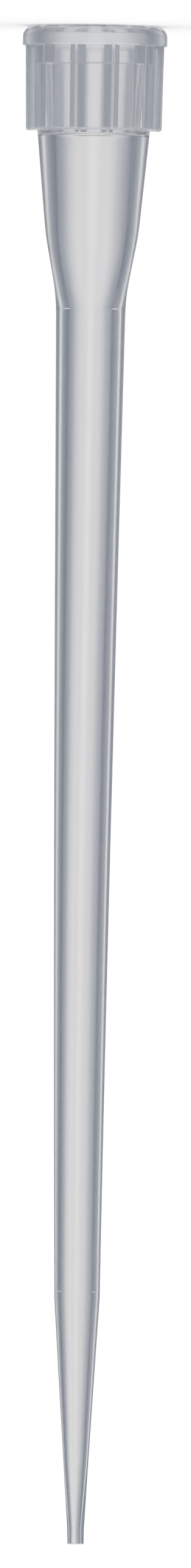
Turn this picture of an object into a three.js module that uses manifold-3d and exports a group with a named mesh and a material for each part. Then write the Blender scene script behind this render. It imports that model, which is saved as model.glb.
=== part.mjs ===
// Extra-long pipette tip for a small air-displacement pipette: one moulding in natural polypropylene.
//
// Millimetres. The tip stands on its mouth: z = 0 is the plane of the mouth rim, the axis is Z, and +Z
// runs from the socket that takes the pipette's nozzle to the point that takes up the liquid.
//
// A closed outline, revolved about the axis, gives the wall with its bore. The gripping ribs of the
// collar are straight ridges, cut to a drafted cone and joined to the wall.

import * as THREE from 'three';
import { mergeVertices } from 'three/addons/utils/BufferGeometryUtils.js';
import Module from 'manifold-3d';

// ---- Driving dimensions: lengths along the axis ----

const LENGTH = 46;                  // mouth rim to point
const FLANGE_HEIGHT = 0.61;         // the plain band round the mouth
const COLLAR_HEIGHT = 3.16;         // mouth rim to the ledge that hangs in a rack
const FUNNEL_LENGTH = 3.16;         // ledge to the waist, where the wall turns in
const WAIST_LENGTH = 1.86;          // waist to the top of the shaft
const NOSE_LENGTH = 7.5;            // the steeper taper at the foot of the shaft
const LAND_LENGTH = 0.5;            // the nearly straight end round the orifice

const LEAD_IN_DEPTH = 0.25;         // the flare just inside the rim
const COUNTERBORE_DEPTH = 1.16;     // rim to the step in the socket
const SHOULDER_LENGTH = 0.02;       // the inner shoulder, from the sealing cone to the funnel
const SHOULDER_DROP = 0.13;         // how far past the ledge it ends
const WAIST_BORE_LAG = 0.48;        // how far the bore turns in after the outside does, at the waist
const SHAFT_BORE_LAG = 0.37;        // the same at the top of the shaft
const NOSE_BORE_LEAD = 0.16;        // how far the bore's taper starts before the outside's, at the nose
const CHOKE_LENGTH = 2.6;           // the point to where the bore starts to narrow faster

// ---- Driving dimensions: the bore ----

const COUNTERBORE_RADIUS = 1.6;
const LEAD_IN = 0.1;                // how much wider the bore is at the rim
const SOCKET_STEP = 0.13;           // counterbore to sealing cone
const SEAL_TAPER = 0.09;            // fall of the sealing cone's radius along its length
const SHOULDER_STEP = 0.22;         // sealing cone to funnel
const FUNNEL_BORE_TAPER = 0.15;     // fall of the bore's radius down the funnel
const SHAFT_BORE_TOP = 0.66;
const SHAFT_BORE_END = 0.482;
const CHOKE_RADIUS = 0.27;          // where it starts to narrow faster
const ORIFICE_RADIUS = 0.125;

// ---- Driving dimensions: the wall, the flange and the ribs ----

const COLLAR_WALL = 0.385;          // counterbore to the flats between the ribs
const FUNNEL_WALL = 0.55;
const WAIST_WALL = 0.4;
const SHAFT_WALL_TOP = 0.4;
const SHAFT_WALL_END = 0.208;
const POINT_WALL = 0.122;
const LAND_FLARE = 0.008;           // how much thicker the wall is where the land begins
const MOULD_DRAFT = 1;              // degrees, on the collar's outside

const RIB_COUNT = 12;
const RIB_HEIGHT = 0.18;
const RIB_ROOT_WIDTH = 0.484;
const RIB_CREST_WIDTH = 0.075;
const FLANGE_LIP = 0.025;           // how far the flange stands out past the ribs

const FLANGE_ROUND = 0.32;          // fillets
const COLLAR_EDGE_ROUND = 0.08;
const LEDGE_ROUND = 0.05;
const WAIST_ROUND = 10;
const SHAFT_ROUND = 6;
const POINT_ROUND = 0.03;

const ROUND_STEPS = 60;             // facets round the axis
const ARC_STEP = 20;                // degrees turned by one facet of a fillet, at most

// ---- Radii and levels that follow from them ----

const sealTopRadius = COUNTERBORE_RADIUS - SOCKET_STEP;
const sealEndRadius = sealTopRadius - SEAL_TAPER;
const funnelBoreTop = sealEndRadius - SHOULDER_STEP;
const waistBore = funnelBoreTop - FUNNEL_BORE_TAPER;

const flatRadius = COUNTERBORE_RADIUS + COLLAR_WALL;
const crestRadius = flatRadius + RIB_HEIGHT;
const flangeRadius = crestRadius + FLANGE_LIP;
const draftFall = (COLLAR_HEIGHT - FLANGE_HEIGHT) * Math.tan(THREE.MathUtils.degToRad(MOULD_DRAFT));

const shoulderEnd = COLLAR_HEIGHT + SHOULDER_DROP;
const waistLevel = COLLAR_HEIGHT + FUNNEL_LENGTH;
const shaftLevel = waistLevel + WAIST_LENGTH;
const noseLevel = LENGTH - NOSE_LENGTH;
const landLevel = LENGTH - LAND_LENGTH;
const pointRadius = ORIFICE_RADIUS + POINT_WALL;

// ---- Outlines: corners as [radius, level, fillet] ----

// Replaces each corner that has a fillet by an arc tangent to its two sides. Where two arcs would
// overlap on a side, they share it in the ratio of the lengths that they want.
function roundCorners(corners) {
  const at = corners.map(([radius, level]) => new THREE.Vector2(radius, level));
  const sides = at.map((corner, i) => [
    at.at(i - 1).clone().sub(corner),
    at[(i + 1) % at.length].clone().sub(corner),
  ]);
  const turns = sides.map(([before, after]) => Math.PI - before.angleTo(after));
  const wanted = corners.map(([, , fillet = 0], i) => fillet * Math.tan(turns[i] / 2));
  const points = [];
  at.forEach((corner, i) => {
    if (wanted[i] === 0) {
      points.push(corner);
      return;
    }
    const [before, after] = sides[i];
    const share = (length, neighbour) => Math.min(wanted[i], (length * wanted[i]) / (wanted[i] + neighbour));
    const setback = Math.min(
      share(before.length(), wanted.at(i - 1)),
      share(after.length(), wanted[(i + 1) % at.length]),
    );
    const turn = turns[i];
    const arcRadius = setback / Math.tan(turn / 2);
    const inward = before.clone().normalize().add(after.clone().normalize()).normalize();
    const centre = corner.clone().addScaledVector(inward, Math.hypot(arcRadius, setback));
    const first = corner.clone().addScaledVector(before.normalize(), setback).sub(centre);
    const last = corner.clone().addScaledVector(after.normalize(), setback).sub(centre);
    const swing = Math.atan2(first.cross(last), first.dot(last));
    const steps = Math.max(2, Math.ceil(THREE.MathUtils.radToDeg(turn) / ARC_STEP));
    for (let k = 0; k <= steps; k += 1) {
      points.push(first.clone().rotateAround(new THREE.Vector2(), (swing * k) / steps).add(centre));
    }
  });
  return points;
}

// From the rim up the outside to the point, and back down the bore to the rim.
const wallOutline = roundCorners([
  [flangeRadius, 0, FLANGE_ROUND],
  [flangeRadius, FLANGE_HEIGHT],
  [flatRadius, FLANGE_HEIGHT],
  [flatRadius - draftFall, COLLAR_HEIGHT, COLLAR_EDGE_ROUND],
  [funnelBoreTop + FUNNEL_WALL, COLLAR_HEIGHT, LEDGE_ROUND],
  [waistBore + WAIST_WALL, waistLevel, WAIST_ROUND],
  [SHAFT_BORE_TOP + SHAFT_WALL_TOP, shaftLevel, SHAFT_ROUND],
  [SHAFT_BORE_END + SHAFT_WALL_END, noseLevel],
  [pointRadius + LAND_FLARE, landLevel],
  [pointRadius, LENGTH, POINT_ROUND],
  [ORIFICE_RADIUS, LENGTH],
  [ORIFICE_RADIUS, landLevel],
  [CHOKE_RADIUS, LENGTH - CHOKE_LENGTH],
  [SHAFT_BORE_END, noseLevel - NOSE_BORE_LEAD],
  [SHAFT_BORE_TOP, shaftLevel + SHAFT_BORE_LAG],
  [waistBore, waistLevel + WAIST_BORE_LAG, WAIST_ROUND],
  [funnelBoreTop, shoulderEnd],
  [sealEndRadius, shoulderEnd - SHOULDER_LENGTH],
  [sealTopRadius, COUNTERBORE_DEPTH],
  [COUNTERBORE_RADIUS, COUNTERBORE_DEPTH],
  [COUNTERBORE_RADIUS, LEAD_IN_DEPTH],
  [COUNTERBORE_RADIUS + LEAD_IN, 0],
]);

// The ring that the ribs are cut to: from the middle of the wall out to the drafted crest.
const ribFoot = FLANGE_HEIGHT / 2;
const ribRingOutline = roundCorners([
  [crestRadius, ribFoot],
  [crestRadius, FLANGE_HEIGHT],
  [crestRadius - draftFall, COLLAR_HEIGHT, COLLAR_EDGE_ROUND],
  [COUNTERBORE_RADIUS + COLLAR_WALL / 2, COLLAR_HEIGHT],
  [COUNTERBORE_RADIUS + COLLAR_WALL / 2, ribFoot],
]);

// ---- Solids ----

const wasm = await Module();
wasm.setup();

function solidOf(geometry) {
  geometry.deleteAttribute('normal');
  geometry.deleteAttribute('uv');
  const merged = mergeVertices(geometry);
  return new wasm.Manifold(new wasm.Mesh({
    numProp: 3,
    vertProperties: merged.attributes.position.array,
    triVerts: new Uint32Array(merged.index.array),
  }));
}

// Revolves a closed outline about the Z axis.
function revolved(outline) {
  const geometry = new THREE.LatheGeometry([...outline, outline[0]], ROUND_STEPS);
  return solidOf(geometry.rotateX(Math.PI / 2));
}

// One ridge along the collar, centred on the +X axis: its section narrows from root to crest, and the
// same flanks run on into the wall.
function ribRidge() {
  const flankSlope = (RIB_ROOT_WIDTH - RIB_CREST_WIDTH) / 2 / RIB_HEIGHT;
  const outer = crestRadius + RIB_CREST_WIDTH / 4;
  const inner = COUNTERBORE_RADIUS;
  const halfWidthAt = (radius) => RIB_CREST_WIDTH / 2 + Math.max(crestRadius - radius, 0) * flankSlope;
  const section = new THREE.Shape([
    new THREE.Vector2(inner, -halfWidthAt(inner)),
    new THREE.Vector2(crestRadius, -halfWidthAt(crestRadius)),
    new THREE.Vector2(outer, -halfWidthAt(outer)),
    new THREE.Vector2(outer, halfWidthAt(outer)),
    new THREE.Vector2(crestRadius, halfWidthAt(crestRadius)),
    new THREE.Vector2(inner, halfWidthAt(inner)),
  ]);
  const length = COLLAR_HEIGHT + FLANGE_HEIGHT;
  return new THREE.ExtrudeGeometry(section, { depth: length, bevelEnabled: false });
}

// A flat between two ribs lies on the -Y axis, so the first rib is half a pitch away from it.
function ribs() {
  const pitch = (2 * Math.PI) / RIB_COUNT;
  const ridges = Array.from({ length: RIB_COUNT }, (_, k) =>
    solidOf(ribRidge().rotateZ(-Math.PI / 2 + pitch * (k + 0.5))));
  const crown = ridges.reduce((all, ridge) => all.add(ridge));
  return crown.intersect(revolved(ribRingOutline));
}

function geometryOf(solid) {
  const { vertProperties, triVerts } = solid.getMesh();
  const geometry = new THREE.BufferGeometry();
  geometry.setAttribute('position', new THREE.BufferAttribute(vertProperties, 3));
  geometry.setIndex(new THREE.BufferAttribute(triVerts, 1));
  geometry.computeVertexNormals();
  return geometry;
}

// ---- The part ----

const naturalPolypropylene = new THREE.MeshStandardMaterial({
  color: 0xd5d8da,
  roughness: 0.3,
  metalness: 0,
  transparent: true,
  opacity: 0.55,
});

const tip = new THREE.Mesh(geometryOf(revolved(wallOutline).add(ribs())), naturalPolypropylene);
tip.name = 'pipette_tip';

const part = new THREE.Group();
part.add(tip);

export default part;
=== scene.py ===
"""A pipette tip in natural polypropylene, standing on its mouth on a plain white table.

Metres throughout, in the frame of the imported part: the axis is Z, z = 0 is the plane of the mouth rim and
+Z runs to the point. The tip is one closed surface: its wall's section turned round the axis, with straight
ribs on the collar and a slight bow from there to the point.
"""

import math

import bpy
import numpy as np
from mathutils import Matrix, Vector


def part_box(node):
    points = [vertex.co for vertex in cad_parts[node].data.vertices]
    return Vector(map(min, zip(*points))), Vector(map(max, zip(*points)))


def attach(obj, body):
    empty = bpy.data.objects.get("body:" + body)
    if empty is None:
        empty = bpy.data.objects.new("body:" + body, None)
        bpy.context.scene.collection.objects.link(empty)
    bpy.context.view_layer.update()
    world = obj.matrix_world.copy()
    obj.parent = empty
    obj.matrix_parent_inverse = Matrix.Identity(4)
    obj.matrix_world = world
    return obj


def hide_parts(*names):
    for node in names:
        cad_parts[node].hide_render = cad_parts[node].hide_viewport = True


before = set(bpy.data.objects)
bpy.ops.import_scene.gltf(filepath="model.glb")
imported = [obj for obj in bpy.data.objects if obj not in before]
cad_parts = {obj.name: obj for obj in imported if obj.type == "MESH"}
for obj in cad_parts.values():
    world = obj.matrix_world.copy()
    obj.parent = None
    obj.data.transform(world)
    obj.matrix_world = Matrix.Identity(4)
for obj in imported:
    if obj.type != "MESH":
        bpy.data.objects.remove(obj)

bl_info = {
    "name": "Pipette Tip",
    "version": (1, 0, 0),
    "blender": (4, 5, 0),
    "location": "View3D > Sidebar > Pipette Tip",
    "description": "Builds a ribbed pipette tip and the pale table that it stands on",
    "category": "Object",
}

MM = 0.001
NODE = "pipette_tip"
TIP_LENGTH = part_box(NODE)[1].z

# ---- What a user would change ----


def size(name, millimetres, description):
    """A length property, with its default given in millimetres."""
    return bpy.props.FloatProperty(
        name=name, description=description, default=millimetres * MM,
        unit="LENGTH", subtype="DISTANCE", precision=6,
    )


def colour(name, hex_code, description):
    """A colour property, with its default given as an sRGB hex code."""
    return bpy.props.FloatVectorProperty(
        name=name, description=description, default=linear(hex_code),
        subtype="COLOR", size=3, min=0, max=1,
    )


def factor(name, default, description):
    """A plain number from 0 to 1."""
    return bpy.props.FloatProperty(
        name=name, description=description, default=default, subtype="FACTOR", min=0, max=1,
    )


def angle(name, degrees, description):
    """An angle property, with its default given in degrees."""
    return bpy.props.FloatProperty(
        name=name, description=description, default=math.radians(degrees), subtype="ANGLE",
    )


def metres(name, default, description):
    """A length property for the large sizes of the studio, with its default given in metres."""
    return bpy.props.FloatProperty(
        name=name, description=description, default=default, unit="LENGTH", subtype="DISTANCE",
    )


def linear(hex_code):
    """sRGB hex to linear: a channel c up to 0.04045 is divided by 12.92, and above that it becomes
    ((c + 0.055) / 1.055)^2.4."""
    channels = [int(hex_code[i:i + 2], 16) / 255 for i in (1, 3, 5)]
    return tuple(c / 12.92 if c <= 0.04045 else ((c + 0.055) / 1.055) ** 2.4 for c in channels)


class TipSizes(bpy.types.PropertyGroup):
    """The tip's own sizes."""

    length: size("Length", TIP_LENGTH / MM, "Mouth rim to point")
    flange_height: size("Flange Height", 0.61, "The plain band round the mouth")
    collar_height: size("Collar Height", 3.16, "Mouth rim to the ledge that hangs in a rack")
    funnel_length: size("Funnel Length", 3.16, "Ledge to the waist, where the wall turns in")
    waist_length: size("Waist Length", 1.86, "Waist to the top of the shaft")
    nose_length: size("Nose Length", 7.5, "The steeper taper at the foot of the shaft")
    land_length: size("Land Length", 0.5, "The nearly straight end round the orifice")

    lead_in_depth: size("Lead-in Depth", 0.25, "The flare just inside the rim")
    counterbore_depth: size("Counterbore Depth", 1.16, "Rim to the step in the socket")
    shoulder_length: size("Shoulder Length", 0.02, "The inner shoulder, sealing cone to funnel")
    shoulder_drop: size("Shoulder Drop", 0.13, "How far past the ledge it ends")
    waist_bore_lag: size("Waist Bore Lag", 0.48, "How far the bore turns in after the outside")
    shaft_bore_lag: size("Shaft Bore Lag", 0.37, "The same at the top of the shaft")
    choke_length: size("Choke Length", 2.6, "The point to where the bore starts to narrow faster")
    nose_bore_lead: size("Nose Bore Lead", 0.16, "How far the bore's taper starts first, at the nose")

    counterbore_radius: size("Counterbore Radius", 1.6, "The socket above its step")
    lead_in: size("Lead-in", 0.1, "How much wider the bore is at the rim")
    socket_step: size("Socket Step", 0.13, "Counterbore to sealing cone")
    seal_taper: size("Seal Taper", 0.09, "Fall of the sealing cone's radius")
    shoulder_step: size("Shoulder Step", 0.22, "Sealing cone to funnel")
    funnel_bore_taper: size("Funnel Bore Taper", 0.15, "Fall of the bore's radius down the funnel")
    shaft_bore_top: size("Shaft Bore Top", 0.66, "The bore's radius at the top of the shaft")
    shaft_bore_end: size("Shaft Bore End", 0.482, "The bore's radius at the foot of the shaft")
    choke_radius: size("Choke Radius", 0.27, "The bore's radius where it starts to narrow faster")
    orifice_radius: size("Orifice Radius", 0.125, "The bore's radius at the point")

    collar_wall: size("Collar Wall", 0.385, "Counterbore to the flats between the ribs")
    funnel_wall: size("Funnel Wall", 0.55, "The wall just past the ledge")
    waist_wall: size("Waist Wall", 0.4, "The wall at the waist")
    shaft_wall_top: size("Shaft Wall Top", 0.4, "The wall at the top of the shaft")
    shaft_wall_end: size("Shaft Wall End", 0.208, "The wall at the foot of the shaft")
    point_wall: size("Point Wall", 0.122, "The wall at the point")
    land_flare: size("Land Flare", 0.008, "How much thicker the wall is where the land begins")

    rib_count: bpy.props.IntProperty(
        name="Ribs", description="Gripping ribs round the collar", default=12, min=3,
    )
    rib_height: size("Rib Height", 0.18, "How far a rib stands out of the collar")
    rib_root_width: size("Rib Root Width", 0.484, "A rib's width at its foot")
    rib_crest_width: size("Rib Crest Width", 0.075, "A rib's width at its crest")
    flange_lip: size("Flange Lip", 0.025, "How far the flange stands out past the ribs")
    mould_draft: angle("Mould Draft", 1, "Draft of the collar's outside")
    core_shift: size("Core Shift", 0.02, "How far the core pin was pushed aside, as the wall filled")
    bow: size("Bow", 0.073, "How far the tip bows aside of the line through its ends")


class TipFinish(bpy.types.PropertyGroup):
    """The plastic's colour and surface."""

    milk: colour("Milk", "#F8F8F9", "Colour of the milky part, which also tints what goes through")
    grip_milk: colour("Grip Milk", "#F4F6F9", "The same for the flange and the ribbed collar")
    clarity: factor("Clarity", 0.93, "Share of the light that goes through a polished wall")
    grip_clarity: factor("Grip Clarity", 0.82, "The same for the flange and the ribbed collar")
    roughness: factor("Roughness", 0.06, "Roughness of the polished surfaces")
    grip_roughness: factor("Grip Roughness", 0.15, "Roughness of the flange and the ribbed collar")
    roughness_spread: factor("Roughness Spread", 0.04, "How much rougher the cloudiest patches are")


class StudioSettings(bpy.types.PropertyGroup):
    """The table, the light and the camera."""

    table_colour: colour("Table", "#E7E7E7", "The table's own colour")
    table_size: metres("Table Size", 400, "Side of the table")
    camera_distance: metres("Camera Distance", 0.63, "Camera to the tip's axis")
    view_height: size("View Height", 47.49, "How much of the tip's length the picture takes in")
    view_level: size("View Level", 22.96, "Height of the picture's centre above the mouth rim")
    view_aside: size("View Aside", 0.306, "How far the picture's centre lies beside the axis")
    view_tilt: angle("View Tilt", 1.85, "How far the camera looks down")
    lean: angle("Lean", 0.75, "How far the tip leans in the picture")


# ---- The tip's surface ----

ARC_STEPS = 5           # facets to a fillet
RUN_STEP = 1.2 * MM     # longest facet along a straight run
SUPPORT = 0.03 * MM     # the short facet that keeps a fillet's end crisp
SUPPORT_SHARE = 0.05    # of a side, the most that this facet takes up
ROOM_SHARE = 0.88       # of a side, what the arcs at its two ends may take up

# Fillets, from the corners that a mould leaves sharpest to the slow turns of the wall.
SHARP_ROUND = 0.01 * MM
SMALL_ROUND = 0.02 * MM
POINT_ROUND = 0.03 * MM
SOFT_ROUND = 0.05 * MM
LEDGE_ROUND = 0.08 * MM
FLANGE_ROUND = 0.32 * MM
LAND_ROUND = 1 * MM
CHOKE_ROUND = 4 * MM
SHAFT_ROUND = 6 * MM
WAIST_ROUND = 10 * MM

WITNESS_HALF = 0.035 * MM       # half the width of the ring left where two parts of the mould meet
CORE_WITNESS = 0.006 * MM       # its height, where the core pin's halves meet
NOSE_WITNESS = 0.004 * MM       # and where the nose begins

# Degrees from a rib's centre line towards the middle of the flat beside it: close together where a rib turns,
# so that its crest and its foot stay crisp. Ribs at another pitch than STATION_PITCH stretch them with it.
RIB_STATIONS = (0, 0.5, 0.75, 1.0, 1.25, 1.6, 4.0, 6.3, 6.7, 7.0, 7.3, 7.7, 11.5)
STATION_PITCH = 30      # degrees from rib to rib
RIB_ROUND = 0.28        # degrees: half the turn at a rib's crest or foot


def witness(radius, level, height, onward):
    """The three corners of such a ring: a low ridge on a wall that runs to +Z (onward 1) or to -Z (-1)."""
    return [
        (radius, level - onward * WITNESS_HALF, SHARP_ROUND),
        (radius + onward * height, level, SHARP_ROUND),
        (radius, level + onward * WITNESS_HALF, SHARP_ROUND),
    ]


def wall_corners(s, collar_radius):
    """The wall's section as corners (radius, level, fillet): from the rim up the outside to the point, and
    back down the bore to the rim. collar_radius is at the flange, and falls with the mould's draft to the
    ledge."""
    seal_top = s.counterbore_radius - s.socket_step
    seal_end = seal_top - s.seal_taper
    funnel_bore = seal_end - s.shoulder_step
    waist_bore = funnel_bore - s.funnel_bore_taper
    flange = s.counterbore_radius + s.collar_wall + s.rib_height + s.flange_lip
    ledge_radius = collar_radius - (s.collar_height - s.flange_height) * math.tan(s.mould_draft)
    shoulder_end = s.collar_height + s.shoulder_drop
    waist = s.collar_height + s.funnel_length
    shaft = waist + s.waist_length
    nose = s.length - s.nose_length
    land = s.length - s.land_length
    point_radius = s.orifice_radius + s.point_wall
    return np.array([
        (flange, 0, FLANGE_ROUND),
        (flange, s.flange_height, SOFT_ROUND),
        (collar_radius, s.flange_height, SMALL_ROUND),
        (ledge_radius, s.collar_height, LEDGE_ROUND),
        (funnel_bore + s.funnel_wall, s.collar_height, SOFT_ROUND),
        (waist_bore + s.waist_wall, waist, WAIST_ROUND),
        (s.shaft_bore_top + s.shaft_wall_top, shaft, SHAFT_ROUND),
        *witness(s.shaft_bore_end + s.shaft_wall_end, nose, NOSE_WITNESS, 1),
        (point_radius + s.land_flare, land, LAND_ROUND),
        (point_radius, s.length, POINT_ROUND),
        (s.orifice_radius, s.length, SHARP_ROUND),
        (s.orifice_radius, land, LAND_ROUND),
        (s.choke_radius, s.length - s.choke_length, CHOKE_ROUND),
        *witness(s.shaft_bore_end, nose - s.nose_bore_lead, NOSE_WITNESS, -1),
        *witness(s.shaft_bore_top, shaft + s.shaft_bore_lag, CORE_WITNESS, -1),
        (waist_bore, waist + s.waist_bore_lag, WAIST_ROUND),
        (funnel_bore, shoulder_end, SHARP_ROUND),
        (seal_end, shoulder_end - s.shoulder_length, SHARP_ROUND),
        (seal_top, s.counterbore_depth, SMALL_ROUND),
        (s.counterbore_radius, s.counterbore_depth, SMALL_ROUND),
        (s.counterbore_radius, s.lead_in_depth, SOFT_ROUND),
        (s.counterbore_radius + s.lead_in, 0, SOFT_ROUND),
    ])


FUNNEL_CORNER = 4       # in wall_corners: the grip and its ledge end here
ORIFICE_CORNER = 12     # and here the bore begins
SHIFT_START = 0.25      # of the tip's length: where the core starts to be pushed aside
SHIFT_RUN = 0.35        # and over how much of it the core goes the whole way
BOW_TOP = 0.528         # the most that u + u^2 - 2u^3 comes to, at u = 0.61


def rounded(corners):
    """Every corner as an arc with a support point on either side: knots[corner, k] = (radius, level).

    An arc is tangent to both sides of its corner. Its ends lie the fillet's radius times the tangent of half
    the turn from the corner, and its centre lies on the bisector. Where two arcs would meet on a side, they
    share it in the ratio of the lengths that they want.
    """
    corner, fillet = corners[:, :2], corners[:, 2]
    before, after = np.roll(corner, 1, 0) - corner, np.roll(corner, -1, 0) - corner
    room_before, room_after = np.hypot(*before.T), np.hypot(*after.T)
    before, after = before / room_before[:, None], after / room_after[:, None]
    half_turn = (math.pi - np.arccos(np.clip((before * after).sum(1), -1, 1))) / 2
    wanted = fillet * np.tan(half_turn)
    setback = np.minimum.reduce([
        wanted,
        ROOM_SHARE * room_before * wanted / (wanted + np.roll(wanted, 1)),
        ROOM_SHARE * room_after * wanted / (wanted + np.roll(wanted, -1)),
    ])
    radius = setback / np.tan(half_turn)
    inward = (before + after) / np.hypot(*(before + after).T)[:, None]
    centre = corner + inward * np.hypot(radius, setback)[:, None]
    arm = corner + before * setback[:, None] - centre
    # The arm swings from the first tangent point to the second, through the whole turn.
    side = np.sign(before[:, 0] * after[:, 1] - before[:, 1] * after[:, 0])
    swing = -side[:, None] * 2 * half_turn[:, None] * np.linspace(0, 1, ARC_STEPS + 1)
    turned = np.stack([
        arm[:, :1] * np.cos(swing) - arm[:, 1:] * np.sin(swing),
        arm[:, :1] * np.sin(swing) + arm[:, 1:] * np.cos(swing),
    ], -1)
    arc = centre[:, None] + turned
    first = corner + before * (setback + np.minimum(SUPPORT, SUPPORT_SHARE * room_before))[:, None]
    last = corner + after * (setback + np.minimum(SUPPORT, SUPPORT_SHARE * room_after))[:, None]
    return np.concatenate([first[:, None], arc, last[:, None]], 1)


def stations(knots):
    """Where the rows lie along a closed outline, in knots: each piece of an arc is one row, and a straight
    run between two corners is cut into equal pieces no longer than RUN_STEP."""
    count, per_corner = knots.shape[:2]
    run = np.hypot(*(np.roll(knots[:, 0], -1, 0) - knots[:, -1]).T)
    pieces = np.maximum(np.ceil(run / RUN_STEP), 1).astype(int)
    steps = np.ones((count, per_corner), int)
    steps[:, -1] = pieces
    ends = np.concatenate([[0], np.cumsum(steps)])
    return np.interp(np.arange(ends[-1]), ends, np.arange(len(ends)))


def along(knots, rows):
    """Radius and level at each row, by straight lines between the knots of a closed outline."""
    points = knots.reshape(-1, 2)
    points = np.concatenate([points, points[:1]])
    at = np.arange(len(points))
    return np.interp(rows, at, points[:, 0]), np.interp(rows, at, points[:, 1])


def rib_columns(s):
    """The columns' angles, and how far out of the collar each one stands, from 0 on a flat to 1 on a crest.

    A rib rises in a straight line from its foot to its crest. Both turns are parabolas, which meet the lines
    on either side without a kink. A flat, and not a rib, faces -Y, which is -90 degrees.
    """
    pitch = 360 / s.rib_count
    half = np.array(RIB_STATIONS) * pitch / STATION_PITCH
    across = np.concatenate([-half[:0:-1], half, [pitch / 2]])
    flat_radius = s.counterbore_radius + s.collar_wall
    foot = math.degrees(s.rib_root_width / 2 / flat_radius)
    crest = math.degrees(s.rib_crest_width / 2 / (flat_radius + s.rib_height))
    aside = np.abs(across)

    def ramp(edge):
        """Falls to the right of edge in a straight line, and starts to fall in a parabola."""
        past = aside - edge
        return np.where(past > RIB_ROUND, past, np.clip(past + RIB_ROUND, 0, None) ** 2 / (4 * RIB_ROUND))

    rise = 1 - (ramp(crest) - ramp(foot)) / (foot - crest)
    centres = -90 + pitch * (np.arange(s.rib_count) + 0.5)
    angles = np.radians((centres[:, None] + across).ravel())
    return angles, np.tile(rise, s.rib_count)


def parabola_tangent(points, axis):
    """The direction of the parabola through each point and its two neighbours on a closed line: each side's
    slope, weighed by the other side's length."""
    ahead, behind = np.roll(points, -1, axis) - points, points - np.roll(points, 1, axis)
    long_ahead = np.linalg.norm(ahead, axis=-1, keepdims=True)
    long_behind = np.linalg.norm(behind, axis=-1, keepdims=True)
    return ahead / long_ahead * long_behind + behind / long_behind * long_ahead


def smooth_step(x):
    """From 0 to 1 as x does, level at both ends: 3x^2 - 2x^3."""
    x = np.clip(x, 0, 1)
    return x * x * (3 - 2 * x)


def tip_surface(s):
    """The tip as a grid of points [row, column], the outward normal at each, and which rows have the grip's
    finish.

    A row is a place on the wall's section and a column is an angle round the axis. The radius goes in a
    straight line from the section through a flat to the section through a crest, by how far out that column
    stands; the two sections differ in the collar alone. The bore is moved aside by a smooth step down the
    shaft. The whole wall past the flange is bowed aside by u + u^2 - 2u^3, where u goes from 0 at the flange
    to 1 at the point. The normals are at right angles to the parabolas through neighbouring points.
    """
    flat_radius = s.counterbore_radius + s.collar_wall
    flat = rounded(wall_corners(s, flat_radius))
    crest = rounded(wall_corners(s, flat_radius + s.rib_height))
    rows = stations(flat)
    corner = rows / flat.shape[1]
    (flat_r, flat_z), (crest_r, crest_z) = along(flat, rows), along(crest, rows)
    turn, rise = rib_columns(s)
    radius = flat_r[:, None] + (crest_r - flat_r)[:, None] * rise
    level = flat_z[:, None] + (crest_z - flat_z)[:, None] * rise
    shift = s.core_shift * smooth_step((level / s.length - SHIFT_START) / SHIFT_RUN)
    u = np.clip((level - s.flange_height) / (s.length - s.flange_height), 0, 1)
    bow = s.bow / BOW_TOP * (u + u ** 2 - 2 * u ** 3)
    aside = bow + np.where(corner[:, None] >= ORIFICE_CORNER, shift, 0)
    points = np.stack([radius * np.cos(turn) + aside, radius * np.sin(turn), level], -1)
    normals = np.cross(parabola_tangent(points, 1), parabola_tangent(points, 0))
    return points, normals / np.linalg.norm(normals, axis=-1, keepdims=True), corner < FUNNEL_CORNER


def grid_mesh(name, points, normals, slots):
    """A closed mesh of quads on a grid that wraps both ways, with its points' normals and its rows' material
    slots."""
    rows, columns = points.shape[:2]
    index = np.arange(rows * columns).reshape(rows, columns)
    right, up = np.roll(index, -1, 1), np.roll(index, -1, 0)
    quads = np.stack([index, right, np.roll(right, -1, 0), up], -1).reshape(-1, 4)
    mesh = bpy.data.meshes.new(name)
    mesh.vertices.add(rows * columns)
    mesh.vertices.foreach_set("co", points.astype(np.float32).ravel())
    mesh.loops.add(quads.size)
    mesh.loops.foreach_set("vertex_index", quads.astype(np.int32).ravel())
    mesh.polygons.add(len(quads))
    mesh.polygons.foreach_set("loop_start", np.arange(0, quads.size, 4, dtype=np.int32))
    mesh.polygons.foreach_set("use_smooth", np.ones(len(quads), bool))
    mesh.polygons.foreach_set("material_index", np.repeat(slots, columns).astype(np.int32))
    mesh.update(calc_edges=True)
    mesh.validate()
    mesh.normals_split_custom_set_from_vertices(normals.reshape(-1, 3))
    return mesh


# ---- Materials ----

PLASTIC_IOR = 1.49              # typical of polypropylene
STREAK_SPACING = 0.12 * MM      # coarser than real polishing lines, so that they show
STREAK_DRAW = 0.01              # how slowly they change along the axis, against round it
STREAK_HEIGHT = 0.0002 * MM
SWELL_SIZE = 2.5 * MM
SWELL_HEIGHT = 0.004 * MM
CLOUDY_FROM, CLOUDY_TO = 0.35, 0.65     # the swells' own level where a patch is clearest, and cloudiest


def add_node(tree, kind, settings=None, values=None):
    """Adds one node: settings are its own properties, and values its inputs, each a constant or a socket to
    link."""
    node = tree.nodes.new(kind)
    for key, value in (settings or {}).items():
        setattr(node, key, value)
    for key, value in (values or {}).items():
        if isinstance(value, bpy.types.NodeSocket):
            tree.links.new(value, node.inputs[key])
        else:
            node.inputs[key].default_value = value
    return node


def new_material(name):
    """A material with an empty node tree and its output node."""
    material = bpy.data.materials.new(name)
    material.use_nodes = True
    material.node_tree.nodes.clear()
    return material, add_node(material.node_tree, "ShaderNodeOutputMaterial")


def rgba(colour_value):
    """A colour as a socket takes it, with full opacity."""
    return (*colour_value, 1.0)


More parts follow.
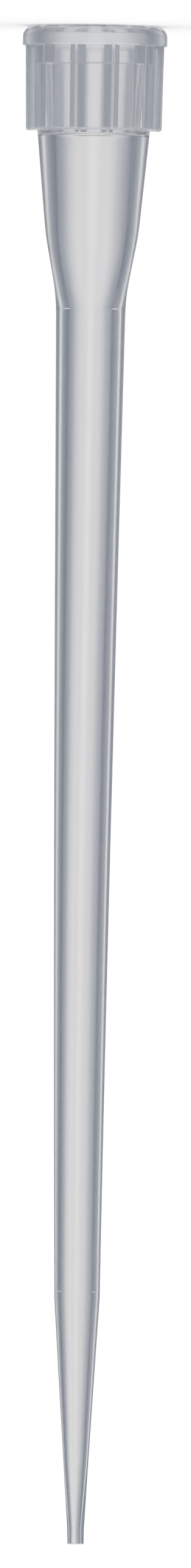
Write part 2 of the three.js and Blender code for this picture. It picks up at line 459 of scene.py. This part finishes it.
def natural_polypropylene(steel, milk, clarity, roughness, spread):
    """Natural polypropylene, injection moulded: clear in a thin wall and faintly milky. Polished steel gives
    it a soft gloss, with streaks along the polishing, and spark-eroded steel leaves it a little matt."""
    material, output = new_material("Natural polypropylene, moulded in " + steel)
    tree = material.node_tree
    place = add_node(tree, "ShaderNodeTexCoord").outputs["Object"]
    # Streaks: finely spaced round the axis, drawn out along it.
    drawn_out = add_node(tree, "ShaderNodeVectorMath", {"operation": "MULTIPLY"}, {
        0: place, 1: (1, 1, STREAK_DRAW),
    })
    streaks = add_node(tree, "ShaderNodeTexNoise", {"noise_dimensions": "3D"}, {
        "Vector": drawn_out.outputs[0], "Scale": 1 / STREAK_SPACING, "Detail": 3.0, "Roughness": 0.6,
    })
    # Flow: slow swells a few millimetres long, where the melt cooled unevenly.
    swells = add_node(tree, "ShaderNodeTexNoise", {"noise_dimensions": "3D"}, {
        "Vector": place, "Scale": 1 / SWELL_SIZE, "Detail": 2.0, "Roughness": 0.5,
    })
    cloudy = add_node(tree, "ShaderNodeMapRange", values={
        "Value": swells.outputs["Fac"], "From Min": CLOUDY_FROM, "From Max": CLOUDY_TO,
        "To Min": roughness, "To Max": roughness + spread,
    })
    wavy = add_node(tree, "ShaderNodeBump", values={
        "Height": swells.outputs["Fac"], "Strength": 1.0, "Distance": SWELL_HEIGHT,
    })
    streaky = add_node(tree, "ShaderNodeBump", values={
        "Height": streaks.outputs["Fac"], "Strength": 1.0, "Distance": STREAK_HEIGHT,
        "Normal": wavy.outputs[0],
    })
    plastic = add_node(tree, "ShaderNodeBsdfPrincipled", values={
        "Base Color": rgba(milk), "Roughness": cloudy.outputs["Result"], "IOR": PLASTIC_IOR,
        "Transmission Weight": clarity, "Normal": streaky.outputs[0],
    })
    tree.links.new(plastic.outputs[0], output.inputs["Surface"])
    return material


def white_table(studio, fill):
    """A matt white table top. fill is the light that it is short of white by: the camera alone sees it, so
    that the table runs into the white background and still shows the tip's shadow."""
    material, output = new_material("Matt white table top")
    tree = material.node_tree
    matt = add_node(tree, "ShaderNodeBsdfDiffuse", values={"Color": rgba(studio.table_colour)})
    seen = add_node(tree, "ShaderNodeLightPath").outputs["Is Camera Ray"]
    strength = add_node(tree, "ShaderNodeMath", {"operation": "MULTIPLY"}, {0: seen, 1: fill})
    glow = add_node(tree, "ShaderNodeEmission", values={
        "Color": rgba((1, 1, 1)), "Strength": strength.outputs[0],
    })
    both = add_node(tree, "ShaderNodeAddShader", values={0: matt.outputs[0], 1: glow.outputs[0]})
    tree.links.new(both.outputs[0], output.inputs["Surface"])
    return material


# ---- The studio ----

PLAIN_LIGHT = 0.95      # the world's level on matt surfaces
TABLE_LEVEL = 1.02      # the table's level to the camera: as white as the background, and a little to spare

# What stands round the tip at its own height, by degrees from straight behind it: a bright sheet that falls
# off to bluish grey at the sides, and three windows behind the camera with dark cards between them.
SURROUND = (
    (0, "#F8F6F4"), (5, "#EFEEED"), (9, "#E0E0E1"), (14, "#C5C8CC"), (20, "#AEB3BA"), (30, "#979CA7"),
    (42, "#7F8693"), (55, "#727A88"), (75, "#6F7785"), (90, "#7C8390"), (108, "#8C929D"), (120, "#D0D2D6"),
    (133, "#F8F8F9"), (146, "#D0D2D6"), (157, "#9499A4"), (168, "#DEDFE2"), (176, "#FAFAFA"),
    (180, "#FFFFFF"),
)
# The table as the plastic shows it, in the same way, with painted light and shade: bright towards its corners
# and darker between them, a painted reflection of dark cards, though the table itself is matt.
TABLE_SEEN = (
    (0, "#D8DADD"), (25, "#B8BCC3"), (45, "#F8F8F8"), (65, "#B4B8C0"), (90, "#9DA3AD"), (115, "#B4B8C0"),
    (135, "#F8F8F8"), (160, "#B8BCC3"), (180, "#B0B4BC"),
)
OVERHEAD = "#FBFCFE"
# How high a direction points, as the sine of its elevation, where the surround starts to give way and where
# it is gone.
OVERHEAD_EDGES = (0.3, 0.6)
TABLE_EDGES = (-0.12, -0.4)
SIDE_PANEL = "#F2F2F3"  # a round bright panel on the -X side
SIDE_PANEL_AIM = (-math.cos(math.radians(3)), 0, -math.sin(math.radians(3)))
SIDE_PANEL_EDGES = (7, 16)      # degrees from its middle: where it starts to fade, and where it ends
CAMERA_REACH = (0.01, 1000)     # metres from the camera: the nearest and the farthest that it sees


def place_stops(color_ramp, stops):
    """Sets a colour ramp over half a turn to stops of (degrees, colour)."""
    for degrees, _ in stops[1:-1]:
        color_ramp.elements.new(degrees / 180)
    for element, (degrees, hex_code) in zip(color_ramp.elements, stops):
        element.position = degrees / 180
        element.color = rgba(linear(hex_code))


def studio_world():
    """White to the camera, a plain level on matt surfaces, and a sheet-lit studio to gloss and clear plastic.

    What stands round the tip is a colour ramp over the angle between the horizontal direction and +Y, with a
    round panel laid over it, whose edge is a smooth step of the cosine to its aim. That runs over into the
    overhead light, and into the table's ramp of painted light and shade, by smooth steps of how high the
    direction points.
    """
    world = bpy.data.worlds.new("Sheet-lit white studio")
    world.use_nodes = True
    tree = world.node_tree
    tree.nodes.clear()
    output = add_node(tree, "ShaderNodeOutputWorld")
    direction = add_node(tree, "ShaderNodeTexCoord").outputs["Generated"]
    heading = add_node(tree, "ShaderNodeSeparateXYZ", values={0: direction})
    turned = add_node(tree, "ShaderNodeMath", {"operation": "ARCTAN2"}, {
        0: heading.outputs["X"], 1: heading.outputs["Y"],
    })
    aside = add_node(tree, "ShaderNodeMath", {"operation": "ABSOLUTE"}, {0: turned.outputs[0]})
    share = add_node(tree, "ShaderNodeMath", {"operation": "DIVIDE"}, {0: aside.outputs[0], 1: math.pi})
    surround = add_node(tree, "ShaderNodeValToRGB", values={0: share.outputs[0]})
    place_stops(surround.color_ramp, SURROUND)
    # the table's ramp: its painted light and shade, a painted reflection of dark cards on a matt table
    table_seen = add_node(tree, "ShaderNodeValToRGB", values={0: share.outputs[0]})
    place_stops(table_seen.color_ramp, TABLE_SEEN)
    towards = add_node(tree, "ShaderNodeVectorMath", {"operation": "DOT_PRODUCT"}, {
        0: direction, 1: SIDE_PANEL_AIM,
    })
    on_panel = add_node(tree, "ShaderNodeMapRange", {"interpolation_type": "SMOOTHSTEP"}, {
        "Value": towards.outputs["Value"],
        "From Min": math.cos(math.radians(SIDE_PANEL_EDGES[1])),
        "From Max": math.cos(math.radians(SIDE_PANEL_EDGES[0])),
    })
    level_light = add_node(tree, "ShaderNodeMixRGB", values={
        0: on_panel.outputs["Result"], 1: surround.outputs["Color"], 2: rgba(linear(SIDE_PANEL)),
    })
    # Overhead and table.
    upward, downward = (
        add_node(tree, "ShaderNodeMapRange", {"interpolation_type": "SMOOTHSTEP"}, {
            "Value": heading.outputs["Z"], "From Min": start, "From Max": end,
        })
        for start, end in (OVERHEAD_EDGES, TABLE_EDGES)
    )
    with_top = add_node(tree, "ShaderNodeMixRGB", values={
        0: upward.outputs["Result"], 1: level_light.outputs[0], 2: rgba(linear(OVERHEAD)),
    })
    around = add_node(tree, "ShaderNodeMixRGB", values={
        0: downward.outputs["Result"], 1: with_top.outputs[0], 2: table_seen.outputs["Color"],
    })
    path = add_node(tree, "ShaderNodeLightPath")
    clear = add_node(tree, "ShaderNodeMath", {"operation": "MAXIMUM"}, {
        0: path.outputs["Is Glossy Ray"], 1: path.outputs["Is Transmission Ray"],
    })
    lit = add_node(tree, "ShaderNodeMixRGB", values={
        0: clear.outputs[0], 1: rgba((PLAIN_LIGHT,) * 3), 2: around.outputs[0],
    })
    seen = add_node(tree, "ShaderNodeMixRGB", values={
        0: path.outputs["Is Camera Ray"], 1: lit.outputs[0], 2: rgba((1, 1, 1)),
    })
    background = add_node(tree, "ShaderNodeBackground", values={
        "Color": seen.outputs[0], "Strength": 1.0,
    })
    tree.links.new(background.outputs[0], output.inputs["Surface"])
    return world


def table_top(studio):
    """A large flat square at the level of the mouth rim. The plastic shows the world's own table instead."""
    half = studio.table_size / 2
    corners = [(-half, -half, 0), (half, -half, 0), (half, half, 0), (-half, half, 0)]
    mesh = bpy.data.meshes.new("table_top")
    mesh.from_pydata(corners, [], [(0, 1, 2, 3)])
    table = bpy.data.objects.new("table_top", mesh)
    bpy.context.scene.collection.objects.link(table)
    table.visible_glossy = table.visible_transmission = False
    albedo = sum(studio.table_colour) / 3
    mesh.materials.append(white_table(studio, TABLE_LEVEL - albedo * PLAIN_LIGHT))


def studio_camera(studio):
    """Looks along +Y and slightly down, without perspective, and is turned over so that the collar is at the
    top of the picture."""
    data = bpy.data.cameras.new("studio_camera")
    data.type = "ORTHO"
    data.ortho_scale = studio.view_height
    data.clip_start, data.clip_end = CAMERA_REACH
    camera = bpy.data.objects.new("studio_camera", data)
    bpy.context.scene.collection.objects.link(camera)
    sine, cosine = math.sin(studio.view_tilt), math.cos(studio.view_tilt)
    turned_over = Matrix(((-1, 0, 0), (0, -sine, -cosine), (0, -cosine, sine))).to_4x4()
    camera.matrix_world = (
        Matrix.Translation((-studio.view_aside, 0, studio.view_level))
        @ turned_over
        @ Matrix.Rotation(studio.lean, 4, "Z")
        @ Matrix.Translation((0, 0, studio.camera_distance))
    )
    bpy.context.scene.camera = camera


# ---- The add-on ----


class PIPETTE_OT_tip(bpy.types.Operator):
    """Build the tip and put it in place of its CAD node"""

    bl_idname = "pipette.build_tip"
    bl_label = "Build Tip"
    bl_options = {"REGISTER", "UNDO"}

    def execute(self, context):
        finish = context.scene.tip_finish
        points, normals, on_grip = tip_surface(context.scene.tip_sizes)
        mesh = grid_mesh("tip", points, normals, on_grip)
        mesh.materials.append(natural_polypropylene(
            "polished steel", finish.milk, finish.clarity, finish.roughness, finish.roughness_spread,
        ))
        mesh.materials.append(natural_polypropylene(
            "spark-eroded steel", finish.grip_milk, finish.grip_clarity, finish.grip_roughness,
            finish.roughness_spread,
        ))
        tip = bpy.data.objects.new("tip", mesh)
        context.scene.collection.objects.link(tip)
        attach(tip, "root")
        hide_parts(NODE)
        return {"FINISHED"}


class PIPETTE_OT_studio(bpy.types.Operator):
    """Build the table, the light and the camera"""

    bl_idname = "pipette.build_studio"
    bl_label = "Build Studio"
    bl_options = {"REGISTER", "UNDO"}

    def execute(self, context):
        studio = context.scene.tip_studio
        context.scene.world = studio_world()
        table_top(studio)
        studio_camera(studio)
        context.scene.view_settings.view_transform = "Standard"
        return {"FINISHED"}


class PIPETTE_PT_tip(bpy.types.Panel):
    """The tip's operators and settings"""

    bl_idname = "PIPETTE_PT_tip"
    bl_label = "Pipette Tip"
    bl_space_type = "VIEW_3D"
    bl_region_type = "UI"
    bl_category = "Pipette Tip"

    def draw(self, context):
        layout = self.layout
        layout.use_property_split = True
        for group, operator in (
            (context.scene.tip_sizes, None),
            (context.scene.tip_finish, PIPETTE_OT_tip),
            (context.scene.tip_studio, PIPETTE_OT_studio),
        ):
            column = layout.column(align=True)
            for name in group.__annotations__:
                column.prop(group, name)
            if operator:
                layout.operator(operator.bl_idname)


GROUPS = {"tip_sizes": TipSizes, "tip_finish": TipFinish, "tip_studio": StudioSettings}
CLASSES = (*GROUPS.values(), PIPETTE_OT_tip, PIPETTE_OT_studio, PIPETTE_PT_tip)


def register():
    """Adds the classes to Blender, and the settings to every scene."""
    for cls in CLASSES:
        bpy.utils.register_class(cls)
    for name, group in GROUPS.items():
        setattr(bpy.types.Scene, name, bpy.props.PointerProperty(type=group))


def unregister():
    """Takes them off again."""
    for name in GROUPS:
        delattr(bpy.types.Scene, name)
    for cls in reversed(CLASSES):
        bpy.utils.unregister_class(cls)


def main():
    """Builds everything."""
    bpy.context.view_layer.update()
    register()
    bpy.ops.pipette.build_tip()
    bpy.ops.pipette.build_studio()


if __name__ == "__main__":
    main()
